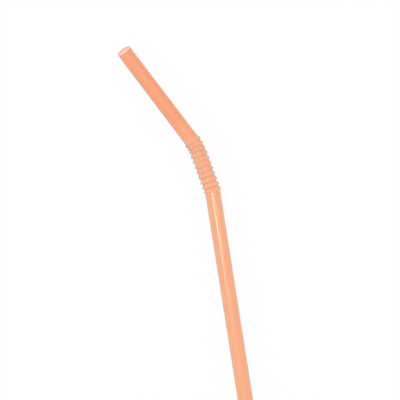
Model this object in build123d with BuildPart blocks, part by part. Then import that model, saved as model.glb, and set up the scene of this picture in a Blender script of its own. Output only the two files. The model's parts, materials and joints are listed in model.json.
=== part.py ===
from build123d import *
import os
from math import cos, radians, sin

# A drinking straw with a flexible neck: one thin plastic tube, bent and lying on its side. Millimetres.
# It is drawn along its centre line, from the cut end that dips in the drink to the end at the mouth.

# Tube
tube_radius = 3.0
wall = 0.2
long_leg = 128.0
short_leg = 46.4

# Neck: each pleat steps out to a crest and runs back in along a long shallow cone
pleats = 11
crest_radius = 3.5
valley_radius = 2.8
crest_land = 0.1
open_step = 0.6
open_cone = 1.58

# The lowest pleat and the top ones are held half closed
half_closed_cone = 1.1
half_closed_pleats = 3

# Where a pleat turns, its inner side folds down to no less than this length of step
folded_step = 0.25

# Bend: one sharp turn at the lowest pleat, and one over the top pleats that grows towards the mouth
kink_angle = 12.0
bend_angle = 18.1
bent_pleats = 4


def heading(angle):
    """The direction of the centre line, flat on the ground, turned by angle to the left of +Y."""
    return Vector(-sin(radians(angle)), cos(radians(angle)), 0)


def pleat_turn(index):
    """How far a pleat turns the centre line, counted from the long leg's side."""
    if index == 0:
        return kink_angle
    place = index - (pleats - bent_pleats) + 1
    return bend_angle * max(place, 0) * 2 / (bent_pleats * (bent_pleats + 1))


def pleat_step(index):
    """The centre line's length over the step out to the crest, which grows once the inner side is folded."""
    return max(open_step, folded_step + crest_radius * sin(radians(pleat_turn(index))))


def pleat_cone(index):
    """The centre line's length from the crest's foot to the next pleat."""
    half_closed = index == 0 or index >= pleats - half_closed_pleats
    return half_closed_cone if half_closed else open_cone


def ring_stations():
    """Every circle that the tube's outer surface passes through, as centre, angle and radius."""
    point = Vector(0, 0, 0)
    angle = 0.0
    stations = [(point, angle, tube_radius)]

    def advance(length, turn, radius):
        nonlocal point, angle
        point = point + heading(angle + turn / 2) * length
        angle = angle + turn
        stations.append((point, angle, radius))

    advance(long_leg, 0.0, tube_radius)
    for index in range(pleats):
        advance(pleat_step(index), pleat_turn(index), crest_radius)
        advance(crest_land, 0.0, crest_radius)
        advance(pleat_cone(index) - crest_land, 0.0, valley_radius if index < pleats - 1 else tube_radius)
    advance(short_leg, 0.0, tube_radius)
    return stations


def ring_plane(point, angle):
    """The plane square to the centre line, with its X axis up so that every circle starts on top."""
    return Plane(origin=point, x_dir=(0, 0, 1), z_dir=heading(angle))


rings = ring_stations()

with BuildPart() as straw:
    for point, angle, radius in rings:
        with BuildSketch(ring_plane(point, angle)):
            Circle(radius)
    loft(ruled=True)
    for point, angle, radius in rings:
        with BuildSketch(ring_plane(point, angle)):
            Circle(radius - wall)
    loft(ruled=True, mode=Mode.SUBTRACT)

# The origin is on the ground, under the middle of the straw's box
box = straw.part.bounding_box()
to_origin = Vector(-box.center().X, -box.center().Y, -box.min.Z)
straw.part.move(Location(to_origin))
straw.part.label = "straw"

os.makedirs("parts", exist_ok=True)
export_step(straw.part, "parts/straw.step")

for name, (point, angle, radius) in (("dip end", rings[0]), ("neck starts", rings[1]),
                                     ("neck ends", rings[-2]), ("mouth end", rings[-1])):
    print(name, [round(value, 3) for value in point + to_origin], "direction",
          [round(value, 5) for value in heading(angle)])
print("length along the centre line", round(sum((b[0] - a[0]).length for a, b in zip(rings, rings[1:])), 2))
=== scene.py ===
# %% [markdown]
# # A flexible drinking straw
# The straw is one thin plastic tube: a long leg that dips into the drink, a pleated neck that bends, and a
# short leg for the mouth. In real life it is pushed out of a die as a plain tube, cut to length, and its
# neck is then squeezed into pleats between a ribbed pin and ribbed jaws.
# This lesson makes it in the same order: a straight tube with its pleats, then the bend, then the plastic.

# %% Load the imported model
import json
from math import cos, pi, radians, sin

import bmesh
import bpy
from mathutils import Matrix, Vector


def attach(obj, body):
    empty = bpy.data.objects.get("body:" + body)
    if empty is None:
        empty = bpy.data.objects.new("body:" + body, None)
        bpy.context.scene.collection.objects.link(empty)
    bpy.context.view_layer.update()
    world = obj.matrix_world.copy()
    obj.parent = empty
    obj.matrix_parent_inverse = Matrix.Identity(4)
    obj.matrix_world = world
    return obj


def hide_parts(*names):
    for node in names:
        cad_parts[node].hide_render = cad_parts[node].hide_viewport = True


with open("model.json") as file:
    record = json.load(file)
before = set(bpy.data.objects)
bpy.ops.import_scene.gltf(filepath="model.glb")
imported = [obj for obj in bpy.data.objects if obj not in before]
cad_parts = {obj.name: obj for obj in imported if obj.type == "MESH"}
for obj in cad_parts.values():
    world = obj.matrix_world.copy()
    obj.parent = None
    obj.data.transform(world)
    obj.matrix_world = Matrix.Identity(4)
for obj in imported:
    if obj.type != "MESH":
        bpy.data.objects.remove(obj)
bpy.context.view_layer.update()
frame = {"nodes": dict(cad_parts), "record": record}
mounts = {mount["name"]: mount for mount in frame["record"]["mounts"]}
print("nodes", sorted(frame["nodes"]), "mounts", sorted(mounts))

# %% [markdown]
# ## Sizes
# Every size is a real one. They are written in millimetres and turned into metres by one factor, because
# Blender's unit is the metre. The tube's outside is 6 mm across and its wall is only 0.2 mm thick.
# A pleat is a short step out to its crest, a narrow land, and a long shallow cone back in.

# %% Sizes of the tube and of one pleat
MM = 0.001

tube_radius = 3.0 * MM
wall = 0.2 * MM
long_leg = 128.0 * MM
short_leg = 46.4 * MM

pleats = 11
crest_radius = 3.5 * MM
valley_radius = 2.8 * MM
crest_land = 0.1 * MM
open_step = 0.6 * MM
open_cone = 1.58 * MM
print("a straight pleat is", round((open_step + open_cone) / MM, 2), "mm long")

# %% [markdown]
# ## The bend
# A pleat bends by folding: its inner side closes while its outer side stays open. This straw turns sharply
# at its lowest pleat, and then over its top four, more at each one towards the mouth: 1, 2, 3 and 4 tenths of
# that bend. The lowest pleat and the top three are also held half closed. Each pleat's step, cone and turn go
# into one list, which the tube and the bend both read.

# %% How each pleat is folded
kink_angle = radians(12.0)
bend_angle = radians(18.1)
bent_pleats = 4
folded_step = 0.25 * MM
half_closed_cone = 1.1 * MM
half_closed_pleats = 3

folds = []
for index in range(pleats):
    place = index - (pleats - bent_pleats) + 1
    turn = kink_angle if index == 0 else bend_angle * max(place, 0) * 2 / (bent_pleats * (bent_pleats + 1))
    step = max(open_step, folded_step + crest_radius * sin(turn))
    half_closed = index == 0 or index >= pleats - half_closed_pleats
    folds.append((step, half_closed_cone if half_closed else open_cone, turn))

neck = sum(step + cone for step, cone, turn in folds)
straw_length = long_leg + neck + short_leg
print("neck", round(neck / MM, 2), "mm, whole straw", round(straw_length / MM, 1), "mm")

# %% [markdown]
# ## The camera
# The photograph looks down on the straw through a fairly long lens. Its frame is square, and the straw's
# long leg leans 9 degrees in it, so the camera is turned about its own line of sight.
# It is set before the modelling, so that each piece can be judged from where the photograph was taken.

# %% Camera
camera_place = Vector((171.8, 30.3, 371.1)) * MM
look_down = radians(66.0)
roll = radians(-98.93)

camera_data = bpy.data.cameras.new("camera")
camera_data.lens = 92.0
camera_data.sensor_width = 36.0
camera_data.clip_start = 0.01

look = Vector((-cos(look_down), 0.0, -sin(look_down)))
camera = bpy.data.objects.new("camera", camera_data)
aimed = look.to_track_quat("-Z", "Y").to_matrix().to_4x4()
camera.matrix_world = Matrix.Translation(camera_place) @ aimed @ Matrix.Rotation(roll, 4, "Z")
bpy.context.scene.collection.objects.link(camera)
bpy.context.scene.camera = camera
print("camera right", camera.matrix_world.col[0][:3], "up", camera.matrix_world.col[1][:3])

# %% [markdown]
# ## The wall in section
# Half of the straw's section is a long line: up the long leg, over the pleats, and up the short leg. It
# could be drawn as a curve, but a wire of a few points is easier to control, because each corner is a real
# fold. The straw stands upright along Z here, and X is the distance from its middle.
# Each leg has one more point close to its two ends. Smooth shading blends from one face to the next, and
# these holding points keep the blend next to the cut end and the first pleat, so that the leg looks straight.

# %% List the points of the outer line
holding_gap = 0.15 * MM

def leg_points(start, length):
    """A leg's two ends, with a holding point close to each."""
    return [(tube_radius, start + way) for way in (0.0, holding_gap, length - holding_gap, length)]

height = long_leg
outline = leg_points(0.0, long_leg)
for step, cone, turn in folds:
    outline.append((crest_radius, height + step))
    outline.append((crest_radius, height + step + crest_land))
    height += step + cone
    outline.append((valley_radius, height))
outline[-1:] = leg_points(height, short_leg)
print("points on the outer line", len(outline))

# %% [markdown]
# ## The wire
# A bmesh is a mesh that is being worked on. A vertex is made at each point, and an edge from each to the next.
# One layer is opened for a number that every vertex will carry, and is filled in further down.

# %% Draw the outer line
section = bmesh.new()
fold_depth = section.verts.layers.float.new("fold_depth")
corners = [section.verts.new((radius, 0.0, height)) for radius, height in outline]
for start, end in zip(corners, corners[1:]):
    section.edges.new((start, end))
print("edges on the outer line", len(section.edges))

# %% [markdown]
# ## Rounded folds
# Warm plastic doesn't take a knife-sharp fold, so every crest and valley is bevelled. A vertex bevel on a
# wire turns a corner into a small arc. The legs are cut into short runs before that: faces as long as the
# whole leg would make poor triangles and take their shading from points far apart.

# %% Round the pleats and divide the legs
leg_cuts = 48
least_turn = radians(5.0)
crest_rounding = 0.045 * MM
valley_rounding = 0.1 * MM

leg_edges = [edge for edge in section.edges if edge.calc_length() > short_leg / 2]
bmesh.ops.subdivide_edges(section, edges=leg_edges, cuts=leg_cuts)

def find_folds(least, most):
    """The points where the line turns, between two distances from the straw's middle."""
    turned = [v for v in section.verts if len(v.link_edges) == 2 and v.calc_edge_angle() > least_turn]
    return [vert for vert in turned if least < vert.co.x < most]

def round_points(points, offset, segments):
    """Turns each corner of the line into a small arc, which starts at an offset from the corner."""
    bmesh.ops.bevel(
        section, geom=points, offset=offset, affect="VERTICES", segments=segments, profile=0.5, material=-1,
    )

crests = find_folds(tube_radius + wall, crest_radius + wall)
round_points(crests, crest_rounding, 3)
valleys = find_folds(valley_radius - wall, tube_radius + wall / 10)
round_points(valleys, valley_rounding, 3)
print("crest points", len(crests), "valleys", len(valleys), "points on the outer line", len(section.verts))

# %% [markdown]
# ## The wall's thickness
# The inside of the straw follows its outside, one wall further in. Solidify would also do this, but a copy
# of the line moved inwards keeps each inner corner level with its outer one, as a ribbed pin and its jaws do.
# The two cut ends join the lines, and their corners lose their sharpness, as a cut plastic edge does.
# Before that, each point notes how deep in its pleat it lies: 0 on a crest and 1 in a valley. The copy takes
# this number along, and so will the spin, and the material will use it to paint shade along the valleys and
# to make the crests paler.

# %% Copy the line inwards and close both ends
end_rounding = 0.05 * MM

for vert in section.verts:
    vert[fold_depth] = (crest_radius - vert.co.x) / (crest_radius - valley_radius)
copied = bmesh.ops.duplicate(section, geom=section.verts[:] + section.edges[:])["geom"]
inner = [item for item in copied if isinstance(item, bmesh.types.BMVert)]
bmesh.ops.translate(section, vec=(-wall, 0.0, 0.0), verts=inner)
loose_ends = sorted((vert for vert in section.verts if len(vert.link_edges) == 1), key=lambda vert: vert.co.z)
section.edges.new(loose_ends[:2])
section.edges.new(loose_ends[2:])
round_points(loose_ends, end_rounding, 2)
print("points on the whole section", len(section.verts))

# %% [markdown]
# ## Spin the tube
# A straw is round, so its section is spun once round the Z axis. 96 steps keep its outline round when it is
# looked at closely. The spin merges its last step with its first one, so that no seam is left, and the
# faces are then made to point outwards. A closed wall with outward faces has a positive volume.

# %% Spin the section round the straw's axis
steps_round = 96

bmesh.ops.spin(
    section, geom=section.verts[:] + section.edges[:], cent=(0.0, 0.0, 0.0), axis=(0.0, 0.0, 1.0),
    angle=2 * pi, steps=steps_round, use_merge=True,
)
bmesh.ops.recalc_face_normals(section, faces=section.faces)
print("faces", len(section.faces), "plastic in mm3", round(section.calc_volume(signed=True) / MM ** 3, 1))

# %% [markdown]
# ## Remember the straight tube
# The plastic's own pattern was made while the tube was straight: its fine lines run along it, through the
# neck too. So each point keeps its place on the straight tube as an attribute, which the material will read.
# The narrow ring of faces at each cut end is given a second material slot, because a blade leaves it matt.

# %% Store each point's place and mark the cut ends
cut_depth = 0.04 * MM

straight = section.verts.layers.float_vector.new("straight_tube")
for vert in section.verts:
    vert[straight] = vert.co

cut_faces = []
for face in section.faces:
    middle = face.calc_center_median().z
    if min(middle, straw_length - middle) < cut_depth:
        face.material_index = 1
        cut_faces.append(face)
print("faces on the cut ends", len(cut_faces))

# %% [markdown]
# ## Bend the neck
# Now each circle of points is carried to its own place on the bent centre line. A curve modifier could bend
# the tube too, but it would round the turns evenly. Walking along the folds puts each turn inside the step of
# its own pleat, where a real one closes. The line starts at the cut end of the long leg.

# %% Walk along the centre line
def heading(angle):
    """The direction of the centre line on the ground, turned by angle to the left of +Y."""
    return Vector((-sin(angle), cos(angle), 0.0))

start = Vector(mounts["dip_end"]["pos_m"])
runs = [(long_leg, 0.0)]
for step, cone, turn in folds:
    runs += [(step, turn), (cone, 0.0)]
runs.append((short_leg, 0.0))

walk = []
point, angle, height = start, 0.0, 0.0
for length, turn in runs:
    walk.append((height, point, angle, length, turn))
    point = point + heading(angle + turn / 2) * length
    angle += turn
    height += length
missed = (point - Vector(mounts["mouth_end"]["pos_m"])).length
print("the mouth's end is off its mount by", round(missed / MM, 4), "mm")

# %% [markdown]
# ## Carry the circles
# All points at one height of the straight tube form two circles, the outer and the inner one. Each pair is
# turned square to the bent line and moved to its place there, with the tube's X axis upwards. Heights are
# rounded for the search alone, so that points at the same height are found together.

# %% Carry every circle to its place
def place_on_line(level):
    """The move that takes the circle at a height of the straight tube to the bent centre line."""
    height, point, angle, length, turn = [run for run in walk if run[0] <= level + 1e-9][-1]
    share = (level - height) / length
    forward = heading(angle + turn * share)
    centre = point + heading(angle + turn / 2) * (level - height)
    up = Vector((0.0, 0.0, 1.0))
    turned = Matrix((up, forward.cross(up), forward)).transposed().to_4x4()
    return Matrix.Translation(centre) @ turned @ Matrix.Translation((0.0, 0.0, -level))

circles = {}
for vert in section.verts:
    circles.setdefault(round(vert.co.z, 7), []).append(vert)
for level, circle in circles.items():
    bmesh.ops.transform(section, matrix=place_on_line(level), verts=circle)
print("circles carried", len(circles))

# %% [markdown]
# ## Finish the mesh
# Smooth shading hides the facets, except where a fold is tighter than 50 degrees. The new mesh takes the place
# of the plain CAD solid, which is hidden.

# %% Make the straw's object
sharp_angle = radians(50.0)

mesh = bpy.data.meshes.new("straw_tube")
section.to_mesh(mesh)
section.free()
mesh.shade_smooth()
mesh.set_sharp_from_angle(angle=sharp_angle)
straw = bpy.data.objects.new("straw_tube", mesh)
bpy.context.scene.collection.objects.link(straw)
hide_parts("straw")
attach(straw, "root")
print("triangles", sum(len(face.vertices) - 2 for face in mesh.polygons))

# %% [markdown]
# ## Helpers for materials
# Colours are picked as sRGB hex values, as a screen shows them, but shaders add up light, so one function
# turns them to linear values. A second one adds a node, sets its inputs and links what is passed to it, and
# a third one starts a material with nothing but its output.

# %% Colour and node helpers
def linear(hex_colour):
    """A linear RGBA colour from an sRGB hex value such as "ff8040"."""
    channels = [int(hex_colour[i:i + 2], 16) / 255 for i in (0, 2, 4)]
    return [c / 12.92 if c <= 0.04045 else ((c + 0.055) / 1.055) ** 2.4 for c in channels] + [1.0]

def add_node(tree, kind, settings=None, **inputs):
    """Adds a node. settings are its own properties. An input is a value, or a socket to link from."""
    node = tree.nodes.new(kind)
    for name, value in (settings or {}).items():
        setattr(node, name, value)
    for name, value in inputs.items():
        socket = node.inputs[int(name[1:])] if name[1:].isdigit() else node.inputs[name.replace("_", " ")]
        if isinstance(value, bpy.types.NodeSocket):
            tree.links.new(value, socket)
        else:
            socket.default_value = value
    return node

def new_material(name):
    """A material with an empty node tree and its output node."""
    material = bpy.data.materials.new(name)
    material.use_nodes = True
    material.node_tree.nodes.clear()
    return material, material.node_tree, material.node_tree.nodes.new("ShaderNodeOutputMaterial")

print("pale orange ffd9bf as light", [round(channel, 3) for channel in linear("ffd9bf")])

# %% [markdown]
# ## Translucent polypropylene
# A straw is extruded from polypropylene with a little dye in it. Light passes the thin wall, so two walls look
# deeper in colour than the single one at the mouth's tip. The colours below are therefore pale: each one tints
# the light again at every wall that it passes.
# The die leaves fine lines along the tube, and the dye is never mixed quite evenly. Both patterns are noise on
# the straight tube, the first one stretched along it. Real die lines are finer than these, which are drawn as
# coarse as they need to be to show at all.

# %% Patterns in the plastic
die_line_gap = 0.2 * MM
die_line_length = 67.0 * MM
cloud_size = 4.0 * MM

plastic, tree, output = new_material("translucent_polypropylene")
place = add_node(tree, "ShaderNodeAttribute", {"attribute_name": "straight_tube"})
stretched = add_node(
    tree, "ShaderNodeMapping", Vector=place.outputs["Vector"],
    Scale=(1 / die_line_gap, 1 / die_line_gap, 1 / die_line_length),
)
die_lines = add_node(
    tree, "ShaderNodeTexNoise", {"noise_dimensions": "3D"}, Vector=stretched.outputs["Vector"],
    Scale=1.0, Detail=2.0, Roughness=0.6,
)
clouds = add_node(
    tree, "ShaderNodeTexNoise", {"noise_dimensions": "3D"}, Vector=place.outputs["Vector"],
    Scale=1 / cloud_size, Detail=2.0,
)
dye_and_painted_light = add_node(
    tree, "ShaderNodeMix", {"data_type": "RGBA"}, Factor=clouds.outputs["Fac"],
    _6=linear("ffd9bf"), _7=linear("ffd5ba"),
)
print("die lines", round(die_line_gap / MM, 2), "mm apart, clouds", round(cloud_size / MM, 1), "mm across")

# %% [markdown]
# ## Deeper and paler places
# The short leg is drawn a little deeper in colour than the long one. On a crest the wall was stretched
# outwards, so it is thinner and paler there; the paleness is also a painted highlight, like light on the
# pleats' cones. In a valley the colour deepens to a line of painted shade, where each pleat's overhang shades
# the fold. The number that each point noted for its depth in the pleat says where. The two ends have a narrow
# deeper line as well: painted shade where the matt cut keeps light inside the wall.

# %% Colour along the straw and over the pleats
# A pleat's depth is 0 on a crest, 0.71 on a leg and 1 in a valley
height_on_tube = add_node(tree, "ShaderNodeSeparateXYZ", Vector=place.outputs["Vector"]).outputs["Z"]
depth = add_node(tree, "ShaderNodeAttribute", {"attribute_name": "fold_depth"}).outputs["Fac"]
short_leg_fade = add_node(
    tree, "ShaderNodeMapRange", Value=height_on_tube,
    From_Min=long_leg + neck * 0.7, From_Max=long_leg + neck + short_leg / 4,
)
# Paler crests: partly thinner stretched plastic, partly a painted highlight of light on the cones.
crest_thinning_and_highlight = add_node(tree, "ShaderNodeMapRange", Value=depth, From_Min=0.7, From_Max=0.2)
# Painted shade: each valley gets a dark line where the pleat's overhang would shade the fold.
valley_painted_shade = add_node(tree, "ShaderNodeMapRange", Value=depth, From_Min=0.86, From_Max=0.98)
# Both ends lie half the tube's length from its middle, and their line fades in over the last 0.45 to 0.15 mm
half_tube = straw_length / 2
end_line, full_line = 0.45 * MM, 0.15 * MM
above_middle = add_node(tree, "ShaderNodeMath", {"operation": "SUBTRACT"}, _0=height_on_tube, _1=half_tube)
from_middle = add_node(tree, "ShaderNodeMath", {"operation": "ABSOLUTE"}, _0=above_middle.outputs[0])
# Painted shade: a deeper line on the wall next to each cut end, where the cut keeps light inside the wall.
end_painted_shade = add_node(
    tree, "ShaderNodeMapRange", Value=from_middle.outputs[0],
    From_Min=half_tube - end_line, From_Max=half_tube - full_line,
)
# The valley and end colours are painted shade, and the paler crests are partly a painted highlight.
fades = ((short_leg_fade, "ffcfb2"), (crest_thinning_and_highlight, "ffdcc5"), (valley_painted_shade, "f8b898"), (end_painted_shade, "e29c80"))
for fade, hex_colour in fades:
    dye_and_painted_light = add_node(
        tree, "ShaderNodeMix", {"data_type": "RGBA"}, Factor=fade.outputs["Result"],
        _6=dye_and_painted_light.outputs[2], _7=linear(hex_colour),
    )
print("colours faded in", len(fades), "nodes so far", len(tree.nodes))

# %% [markdown]
# ## Put the plastic together
# A Principled shader that lets all light through, with polypropylene's index of refraction, shows the floor
# through both walls and mirrors the lamps in fine highlights. The die lines make its gloss a little uneven.
# Inside the wall, the volume takes away some more blue and green, most of all where the wall is seen edge on.

# %% Gloss, relief and depth of the plastic
polypropylene_ior = 1.49

sheen_spread = add_node(tree, "ShaderNodeMapRange", Value=die_lines.outputs["Fac"], To_Min=0.12, To_Max=0.18)
relief = add_node(tree, "ShaderNodeBump", Height=die_lines.outputs["Fac"], Strength=0.04, Distance=0.01 * MM)
shell = add_node(
    tree, "ShaderNodeBsdfPrincipled", Base_Color=dye_and_painted_light.outputs[2], Roughness=sheen_spread.outputs["Result"],
    Normal=relief.outputs["Normal"], IOR=polypropylene_ior, Transmission_Weight=1.0,
)
tint = add_node(tree, "ShaderNodeVolumeAbsorption", Color=linear("ffd6ca"), Density=300.0)
tree.links.new(shell.outputs["BSDF"], output.inputs["Surface"])
tree.links.new(tint.outputs["Volume"], output.inputs["Volume"])
mesh.materials.append(plastic)
print("material", plastic.name, "with", len(tree.nodes), "nodes")

# %% [markdown]
# ## The cut ends
# A knife chops the straw from the running tube, and the cut isn't polished. Its ring is matt, and looks deeper
# than the wall, because the light that comes out of it has run along inside the plastic. The blade leaves
# fine marks, drawn here as noise about 0.1 mm across, which is coarse enough to show from close by.

# %% Matt plastic on the cut ends
blade_mark = 0.1 * MM

cut_plastic, tree, output = new_material("knife_cut_polypropylene")
place = add_node(tree, "ShaderNodeAttribute", {"attribute_name": "straight_tube"})
marks = add_node(
    tree, "ShaderNodeTexNoise", {"noise_dimensions": "3D"}, Vector=place.outputs["Vector"],
    Scale=1 / blade_mark, Detail=3.0,
)
cut_colour = add_node(
    tree, "ShaderNodeMix", {"data_type": "RGBA"}, Factor=marks.outputs["Fac"],
    _6=linear("e28865"), _7=linear("ee9e7e"),
)
cut_relief = add_node(tree, "ShaderNodeBump", Height=marks.outputs["Fac"], Strength=0.2, Distance=0.01 * MM)
cut_shell = add_node(
    tree, "ShaderNodeBsdfPrincipled", Base_Color=cut_colour.outputs[2], Roughness=0.6,
    Normal=cut_relief.outputs["Normal"], IOR=polypropylene_ior,
)
tree.links.new(cut_shell.outputs["BSDF"], output.inputs["Surface"])
mesh.materials.append(cut_plastic)
print("material", cut_plastic.name)

# %% [markdown]
# ## The floor
# The straw lies on a plain sheet of paper, so large that its edge is out of sight. It is stage, not a part of
# the straw.

# %% Sheet of paper
half_sheet = 3.0

floor_mesh = bpy.data.meshes.new("floor")
sheet = bmesh.new()
bmesh.ops.create_grid(sheet, x_segments=1, y_segments=1, size=half_sheet)
sheet.to_mesh(floor_mesh)
sheet.free()
floor = bpy.data.objects.new("floor", floor_mesh)
bpy.context.scene.collection.objects.link(floor)
print("floor", 2 * half_sheet, "m wide")

# %% [markdown]
# ## White paper
# The paper scatters part of the lamps' light, which gives the straw its faint shadow. The camera sees a glow
# of its own as well, so that the paper comes out white. Mirrored rays and rays through the plastic see that
# glow too, but the light that falls on the straw doesn't have it.

# %% Material of the floor
def seen_rays(tree):
    """1 for what the camera sees, directly, mirrored or through the plastic, and 0 for the light on a surface."""
    rays = add_node(tree, "ShaderNodeLightPath").outputs
    mirrored = add_node(
        tree, "ShaderNodeMath", {"operation": "ADD"}, _0=rays["Is Camera Ray"], _1=rays["Is Glossy Ray"],
    )
    return add_node(
        tree, "ShaderNodeMath", {"operation": "ADD", "use_clamp": True},
        _0=mirrored.outputs[0], _1=rays["Is Transmission Ray"],
    ).outputs[0]

paper_glow = 0.91

paper, tree, output = new_material("matt_white_paper")
glow = add_node(tree, "ShaderNodeMath", {"operation": "MULTIPLY"}, _0=seen_rays(tree), _1=paper_glow)
matt = add_node(tree, "ShaderNodeBsdfDiffuse", Color=linear("565656"))
own_light = add_node(tree, "ShaderNodeEmission", Color=linear("ffffff"), Strength=glow.outputs[0])
both = add_node(tree, "ShaderNodeAddShader", _0=matt.outputs[0], _1=own_light.outputs[0])
tree.links.new(both.outputs[0], output.inputs["Surface"])
floor_mesh.materials.append(paper)
print("material", paper.name)

# %% [markdown]
# ## Light
# The studio is a white room, so the world is white to the camera and to what the plastic mirrors or lets
# through, and it lights the floor a little less. The same rays count as seen here as for the paper.

# %% White room
room_light = 0.75

world = bpy.data.worlds.new("white_studio")
world.use_nodes = True
tree = world.node_tree
tree.nodes.clear()
strength = add_node(tree, "ShaderNodeMapRange", Value=seen_rays(tree), To_Min=room_light, To_Max=1.0)
sky = add_node(tree, "ShaderNodeBackground", Color=linear("ffffff"), Strength=strength.outputs["Result"])
add_node(tree, "ShaderNodeOutputWorld", Surface=sky.outputs[0])
bpy.context.scene.world = world
print("world", world.name, "light", room_light)

# %% [markdown]
# ## Lamps
# An area lamp's two sides decide how soft its light is and how its mirror image looks on the tube. A large
# soft lamp stands beyond the straw's mouth. A dim one overhead is mirrored as a faint band along the straw,
# and a short bright strip as the white line under the neck.

# %% Soft lamps
def add_softbox(name, place, size, depth, power):
    """A rectangular area lamp, aimed at the origin. Its place and its sides are in metres, its power in watts."""
    data = bpy.data.lights.new(name, "AREA")
    data.shape = "RECTANGLE"
    data.size = size
    data.size_y = depth
    data.energy = power
    lamp = bpy.data.objects.new(name, data)
    lamp.matrix_world = Matrix.Translation(place) @ (-place).to_track_quat("-Z", "Y").to_matrix().to_4x4()
    bpy.context.scene.collection.objects.link(lamp)

add_softbox("top_softbox", Vector((0.3, 0.7, 1.0)), 1.4, 1.4, 2.0)
add_softbox("overhead_softbox", Vector((0.13, -0.07, 0.95)), 0.35, 0.27, 0.22)
add_softbox("bright_strip", Vector((0.13, 0.075, 0.94)), 0.3, 0.1, 1.6)

# %% [markdown]
# ## The look
# The look is set to Standard, so that colours come out as they are written.

# %% Finish
bpy.context.scene.view_settings.view_transform = "Standard"
